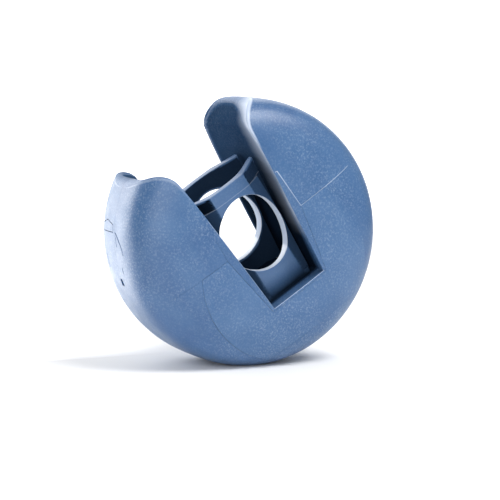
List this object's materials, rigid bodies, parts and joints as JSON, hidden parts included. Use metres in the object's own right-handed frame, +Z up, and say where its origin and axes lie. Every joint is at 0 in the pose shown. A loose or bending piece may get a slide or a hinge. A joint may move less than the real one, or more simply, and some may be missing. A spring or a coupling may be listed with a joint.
{
  "type": "slotted ball clip",
  "caption": "Hollow moulded ball with a tapered slot from its mouth and two sprung leaves that make a split sleeve with a cross hole.",
  "frame": {"origin": "under the middle of the ball, on the flat that it rests on", "axes": "+Z up; +Y along the ball's axis, away from the front face; the mouth leans 33.5 degrees from +Z towards -X"},
  "size_m": [0.076, 0.0378, 0.0755],
  "materials": {
    "shell_plastic": "semi-gloss moulded blue with a fine light speckle",
    "cover_plastic": "semi-gloss moulded blue with a fine light speckle",
    "leaf_plastic": "smooth semi-gloss moulded blue"
  },
  "bodies": {
    "ball": {"front_shell": "shell_plastic", "back_shell": "shell_plastic", "front_cover": "cover_plastic", "back_cover": "cover_plastic", "sleeve_heel": "leaf_plastic", "rim_plug": "shell_plastic"},
    "front_leaf_body": {"front_leaf": "leaf_plastic"},
    "back_leaf_body": {"back_leaf": "leaf_plastic"}
  },
  "joints": [
    {"name": "front_leaf_flex", "type": "hinge", "parent": "ball", "child": "front_leaf_body", "pos_m": [0.01098, -0.01075, 0.02096], "axis": [0.8339, 0, 0.5519], "range_deg": [-1.5, 3], "stiffness_Nm_per_rad": 3},
    {"name": "back_leaf_flex", "type": "hinge", "parent": "ball", "child": "back_leaf_body", "pos_m": [0.01098, 0.01075, 0.02096], "axis": [-0.8339, 0, -0.5519], "range_deg": [-1.5, 3], "stiffness_Nm_per_rad": 3}
  ]
}
